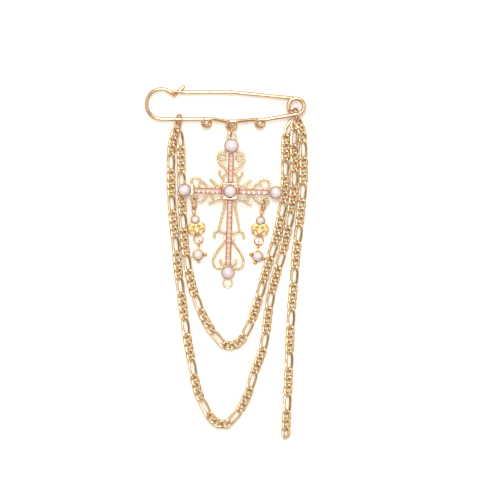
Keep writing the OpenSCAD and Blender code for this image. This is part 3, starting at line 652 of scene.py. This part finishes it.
# Rope wire and grains on the cross, drawn flat in mm and then laid as the cross lies
cross = {
    "at": (2.28, 33.06, 3.292), "tipDeg": 4.163, "leanDeg": 1.6,
    "strand": 0.76, "strandOff": 0.34, "ropeZ": 1.0, "ropeTurnMm": 2.6, "ropeStep": 0.16,
    "grain": 0.42, "grainPitch": 0.5, "grainSink": 0.02, "grainIn": 0.18,
    "scrolls": [  # one side only, from the middle outwards
        [(2.2, 18.3), (4.4, 18.3), (6.0, 16.5), (6.0, 14.4), (4.8, 12.4), (2.6, 10.7), (1.6, 9.6), (2.2, 8.2),
         (3.7, 7.4)],
        [(2.6, 3.6), (3.7, 6.1), (5.3, 8.3), (5.3, 9.4)],
        [(3.5, 1.9), (6.6, 3.1), (8.1, 4.2), (9.4, 5.4)],
        [(6.6, 3.1), (8.3, 0.9)],
        [(9.2, 1.0), (11.2, 2.6), (12.9, 4.2), (14.6, 5.5), (16.4, 5.9), (17.9, 4.9), (18.1, 3.3),
         (17.0, 2.2)],
        [(13.6, 4.4), (15.4, 0.8)],
        [(3.5, -3.3), (6.5, -4.0), (8.4, -5.2), (9.7, -5.5)],
        [(7.2, -4.3), (9.4, -1.0)],
        [(9.8, -1.0), (11.1, -2.4), (12.7, -4.2), (14.6, -5.1)],
        [(2.3, -3.6), (2.6, -7.5), (3.6, -12.0), (4.6, -17.0), (4.8, -18.8)],
        [(1.0, -19.8), (2.6, -19.3), (4.4, -18.6), (6.3, -19.2), (7.0, -20.4), (6.8, -21.5)],
        [(1.0, -23.2), (2.5, -24.4), (4.2, -26.6), (5.7, -28.9), (7.1, -32.2), (6.5, -34.9), (4.9, -36.0),
         (2.6, -35.7)],
        [(1.0, -34.0), (2.6, -34.2), (3.6, -33.2), (3.5, -32.0)],
    ],
    "eyelets": [(3.9, 15.8, 1.45), (16.3, -3.9, 1.52)],
    "cups": [(0, 21.2, 3.5), (-21.2, 0, 3.15), (21.2, 0, 3.15), (0, -37.8, 3.25)],  # place and outer radius
    "cupH": 1.7,
    "rails": [(90, 4.1, 17.5), (180, 4.1, 16.8), (0, 4.1, 17.9), (270, 4.1, 34.4)],  # turn, from, to
    "railY": 1.17, "railZ": 1.86,
}
crossTurn = (Matrix.Rotation(math.radians(-cross["leanDeg"]), 4, "Z")
             @ Matrix.Rotation(math.radians(cross["tipDeg"]), 4, "X"))
crossPlace = Matrix.Translation(Vector(cross["at"]) * mm) @ crossTurn


def curvePoint(a, b, c, d, t):  # on the soft curve that runs from b to c
    square = (2 * a - 5 * b + 4 * c - d) * t * t
    cube = (3 * b - a - 3 * c + d) * t ** 3
    return 0.5 * (2 * b + (c - a) * t + square + cube)


def smoothed(points, share=6):
    last = len(points) - 1
    if last < 2:
        return [Vector(p).to_3d() for p in points]
    out = []
    for i in range(last):
        near = [Vector(points[max(0, min(last, i + k))]) for k in (-1, 0, 1, 2)]
        out += [curvePoint(*near, k / share).to_3d() for k in range(share)]
    return out + [Vector(points[-1]).to_3d()]


def closedCurve(points, share=7):
    out = []
    for i in range(len(points)):
        near = [Vector(points[(i + k) % len(points)]) for k in (-1, 0, 1, 2)]
        out += [curvePoint(*near, k / share) for k in range(share)]
    return out


def ringLine(x, y, z, r, count=40):
    return [Vector((x + r * math.cos(2 * math.pi * k / count), y + r * math.sin(2 * math.pi * k / count), z))
            for k in range(count)]


def linesPiece(name, lines, closed, place):
    points, edges = [], []
    for line, shut in zip(lines, closed):
        first = len(points)
        points += [place @ (Vector(p) * mm) for p in line]
        edges += [(first + k, first + k + 1) for k in range(len(line) - 1)]
        if shut:
            edges.append((first + len(line) - 1, first))
    mesh = bpy.data.meshes.new(name)
    mesh.from_pydata([tuple(p) for p in points], edges, [])
    piece = bpy.data.objects.new(name, mesh)
    bpy.context.scene.collection.objects.link(piece)
    return piece


# Twisted wire: two round strands that turn about each other along the line
ropeTree, ropeNames, ropeIn, ropeOut = newTree("twistedWire", {
    "Strand": ("NodeSocketFloat", 0.6 * mm), "Strand offset": ("NodeSocketFloat", 0.25 * mm),
    "Step": ("NodeSocketFloat", 0.16 * mm), "Turns a metre": ("NodeSocketFloat", 400.0),
    "Finish": ("NodeSocketMaterial", None)})
ropeLine = addNode(ropeTree, "GeometryNodeMeshToCurve", None, {"Mesh": ropeIn.outputs["Geometry"]})
ropeFine = addNode(ropeTree, "GeometryNodeResampleCurve", {"mode": "LENGTH"},
                   {"Curve": ropeLine.outputs[0], "Length": ropeIn.outputs["Step"]})
ropeAlong = addNode(ropeTree, "GeometryNodeSplineParameter")
ropeTurns = addNode(ropeTree, "ShaderNodeMath", {"operation": "MULTIPLY"},
                    {0: ropeAlong.outputs["Length"], 1: ropeIn.outputs["Turns a metre"]})
ropeAngle = addNode(ropeTree, "ShaderNodeMath", {"operation": "MULTIPLY", 1: 2 * math.pi},
                    {0: ropeTurns.outputs[0]})
ropeTilt = addNode(ropeTree, "GeometryNodeSetCurveTilt", None,
                   {0: ropeFine.outputs[0], "Tilt": ropeAngle.outputs[0]})
strandHalf = addNode(ropeTree, "ShaderNodeMath", {"operation": "MULTIPLY", 1: 0.5},
                     {0: ropeIn.outputs["Strand"]})
strandRound = addNode(ropeTree, "GeometryNodeCurvePrimitiveCircle", {"Resolution": 8},
                      {"Radius": strandHalf.outputs[0]})
bothStrands = addNode(ropeTree, "GeometryNodeJoinGeometry")
for sign in (1, -1):
    off = addNode(ropeTree, "ShaderNodeMath", {"operation": "MULTIPLY", 1: sign},
                  {0: ropeIn.outputs["Strand offset"]})
    offPlace = addNode(ropeTree, "ShaderNodeCombineXYZ", None, {"X": off.outputs[0]})
    moved = addNode(ropeTree, "GeometryNodeTransform", None,
                    {"Geometry": strandRound.outputs["Curve"], "Translation": offPlace.outputs[0]})
    ropeTree.links.new(moved.outputs[0], bothStrands.inputs[0])
ropeTube = addNode(ropeTree, "GeometryNodeCurveToMesh", {"Fill Caps": True},
                   {"Curve": ropeTilt.outputs[0], "Profile Curve": bothStrands.outputs[0]})
ropeSoft = addNode(ropeTree, "GeometryNodeSetShadeSmooth", {"Shade Smooth": True}, {0: ropeTube.outputs[0]})
ropeReal = addNode(ropeTree, "GeometryNodeRealizeInstances", None, {0: ropeSoft.outputs[0]})
ropeDone = addNode(ropeTree, "GeometryNodeSetMaterial", None,
                   {"Geometry": ropeReal.outputs[0], "Material": ropeIn.outputs["Finish"]})
ropeTree.links.new(ropeDone.outputs[0], ropeOut.inputs[0])

grainTree, grainNames, grainIn, grainOut = newTree("rowOfGrains", {
    "Grain": ("NodeSocketFloat", 0.4 * mm), "Pitch": ("NodeSocketFloat", 0.5 * mm),
    "Finish": ("NodeSocketMaterial", None)})
grainLine = addNode(grainTree, "GeometryNodeMeshToCurve", None, {"Mesh": grainIn.outputs["Geometry"]})
grainSpots = addNode(grainTree, "GeometryNodeResampleCurve", {"mode": "LENGTH"},
                     {"Curve": grainLine.outputs[0], "Length": grainIn.outputs["Pitch"]})
grainHalf = addNode(grainTree, "ShaderNodeMath", {"operation": "MULTIPLY", 1: 0.5},
                    {0: grainIn.outputs["Grain"]})
grainBall = addNode(grainTree, "GeometryNodeMeshIcoSphere", {"Subdivisions": 2},
                    {"Radius": grainHalf.outputs[0]})
grainSoft = addNode(grainTree, "GeometryNodeSetShadeSmooth", {"Shade Smooth": True},
                    {0: grainBall.outputs[0]})
grainLaid = addNode(grainTree, "GeometryNodeInstanceOnPoints", None,
                    {"Points": grainSpots.outputs[0], "Instance": grainSoft.outputs[0]})
grainReal = addNode(grainTree, "GeometryNodeRealizeInstances", None, {0: grainLaid.outputs[0]})
grainDone = addNode(grainTree, "GeometryNodeSetMaterial", None,
                    {"Geometry": grainReal.outputs[0], "Material": grainIn.outputs["Finish"]})
grainTree.links.new(grainDone.outputs[0], grainOut.inputs[0])

ropeLines = []
for scroll in cross["scrolls"]:
    for mirror in (1, -1):
        ropeLines.append([Vector((mirror * p.x, p.y, cross["ropeZ"])) for p in smoothed(scroll)])
ropeShut = [False] * len(ropeLines)
for ex, ey, er in cross["eyelets"]:
    for mirror in (1, -1):
        ropeLines.append(ringLine(mirror * ex, ey, cross["ropeZ"], er))
        ropeShut.append(True)
scrollRope = linesPiece("scrollRope", ropeLines, ropeShut, crossPlace)
runTree(scrollRope, ropeTree, ropeNames, {
    "Strand": cross["strand"] * mm, "Strand offset": cross["strandOff"] * mm, "Step": cross["ropeStep"] * mm,
    "Turns a metre": 1000 / cross["ropeTurnMm"], "Finish": gold["castGold"]})
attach(scrollRope, "brooch")

railLines = []
for turn, a, b in cross["rails"]:
    spin = Matrix.Rotation(math.radians(turn), 3, "Z")
    for edge in (1, -1):
        railLines.append([spin @ Vector((a, edge * cross["railY"], cross["railZ"])),
                          spin @ Vector((b, edge * cross["railY"], cross["railZ"]))])
cupLines = [ringLine(x, y, cross["cupH"] - cross["grainSink"], r - cross["grainIn"])
            for x, y, r in cross["cups"]]


def grainRows(name, lines, closed, finish):
    grains = linesPiece(name, lines, [closed] * len(lines), crossPlace)
    runTree(grains, grainTree, grainNames, {
        "Grain": cross["grain"] * mm, "Pitch": cross["grainPitch"] * mm, "Finish": gold[finish]})
    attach(grains, "brooch")


grainRows("cupGrains", cupLines, True, "castGold")
grainRows("railGrains", railLines, False, "roseRails")
print("stage: rope wire and grains")


# Square bezel round the middle pearl: a raised frame with mitred corners
bezel = {"width": 7.8, "plateH": 2.2, "wall": 0.85, "sink": 0.3, "rise": 0.45, "slope": 0.2,
         "softMm": 0.12, "softSteps": 3}


def bezelFrame():
    outer, slope = bezel["width"] / 2, bezel["slope"]
    inner = outer - bezel["wall"]
    z0, z1 = bezel["plateH"] - bezel["sink"], bezel["plateH"] + bezel["rise"]
    profile = [(outer, z0), (outer, z1 - slope), (outer - slope, z1), (inner + slope, z1),
               (inner, z1 - slope), (inner, z0)]
    points, faces = [], []
    for sx, sy in ((1, 1), (-1, 1), (-1, -1), (1, -1)):
        points += [crossPlace @ (Vector((sx * r, sy * r, z)) * mm) for r, z in profile]
    count = len(profile)
    for corner in range(4):
        nxt = (corner + 1) % 4
        for k in range(count):
            m = (k + 1) % count
            faces.append((corner * count + k, nxt * count + k, nxt * count + m, corner * count + m))
    piece = meshPiece("squareBezel", points, faces, gold["roseRails"], None, smooth=False)
    bevel = piece.modifiers.new("softened", "BEVEL")
    bevel.width = bezel["softMm"] * mm
    bevel.segments = bezel["softSteps"]
    bakedModifiers(piece)
    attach(piece, "brooch")


bezelFrame()

# Petals of the two drops: loops of thick round wire that close over the cast back
petals = {
    "wire": 0.95, "z": 0.95, "sides": 14,
    "loop": [(0.7, -2.1), (2.0, -1.7), (3.3, -2.5), (3.75, -4.0), (3.2, -5.6), (1.9, -6.4), (0.8, -5.7),
             (1.3, -4.5), (1.1, -3.2)],
    "drops": {"petalsLeft": ((-14.1, 19.8), 9.9), "petalsRight": ((16.45, 19.3), -4.75)},  # place, turn
}


def petalLoops(name, place, turn):
    points, faces, sides = [], [], petals["sides"]
    spin = Matrix.Rotation(math.radians(turn), 3, "Z")
    for mirror in (1, -1):
        loop = [Vector((mirror * p.x, p.y, petals["z"])) for p in closedCurve(petals["loop"])]
        first, count = len(points), len(loop)
        for i in range(count):
            run = (loop[(i + 1) % count] - loop[i - 1]).normalized()
            out = Vector((run.y, -run.x, 0))
            for k in range(sides):
                t = 2 * math.pi * k / sides
                ring = petals["wire"] / 2 * (math.cos(t) * out + math.sin(t) * Vector((0, 0, 1)))
                points.append((spin @ (loop[i] + ring) + Vector((*place, 0))) * mm)
        for i in range(count):
            here, there = first + i * sides, first + (i + 1) % count * sides
            for k in range(sides):
                m = (k + 1) % sides
                faces.append((here + k, there + k, there + m, here + m))
    piece = meshPiece(name, points, faces, gold["castDrops"], "brooch")


for petalName, (petalPlace, petalTurn) in petals["drops"].items():
    petalLoops(petalName, petalPlace, petalTurn)
print("stage: petals")

# Pearls: balls with a flat back in their cups
pearls = {
    "diameter": {"pearl_top": 6, "pearl_left": 5.3, "pearl_right": 5.3, "pearl_bottom": 5.5,
                 "pearl_centre": 5.8, "drop_pearl_left": 3.5, "drop_pearl_right": 3.5,
                 "drop_tip_pearl_left": 4.4, "drop_tip_pearl_right": 4.4},
    "round": 56, "tall": 36,
}


def seatedPearl(node, diameter):
    lo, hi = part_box(node)
    middle = Vector(((lo.x + hi.x) / 2, (lo.y + hi.y) / 2, hi.z - diameter * mm / 2))
    shape = bmesh.new()
    bmesh.ops.create_uvsphere(shape, u_segments=pearls["round"], v_segments=pearls["tall"],
                              radius=diameter * mm / 2)
    for vert in shape.verts:
        vert.co = vert.co + middle
        vert.co.z = max(vert.co.z, lo.z)
    bmesh.ops.remove_doubles(shape, verts=shape.verts, dist=1e-7)
    name = camelName(node)
    mesh = bpy.data.meshes.new(name)
    shape.to_mesh(mesh)
    shape.free()
    for face in mesh.polygons:
        face.use_smooth = True
    mesh.materials.append(nacre)
    piece = bpy.data.objects.new(name, mesh)
    bpy.context.scene.collection.objects.link(piece)
    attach(piece, "brooch")
    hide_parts(node)


for pearlNode, pearlSize in pearls["diameter"].items():
    seatedPearl(pearlNode, pearlSize)

# Stones stay as cut in CAD: a table and eight facets each
for stoneNode in ("stones_top", "stones_left", "stones_right", "stones_bottom"):
    data = nodes[stoneNode].data
    data.materials.clear()
    data.materials.append(stoneGlass)
print("stage: pearls and stones")
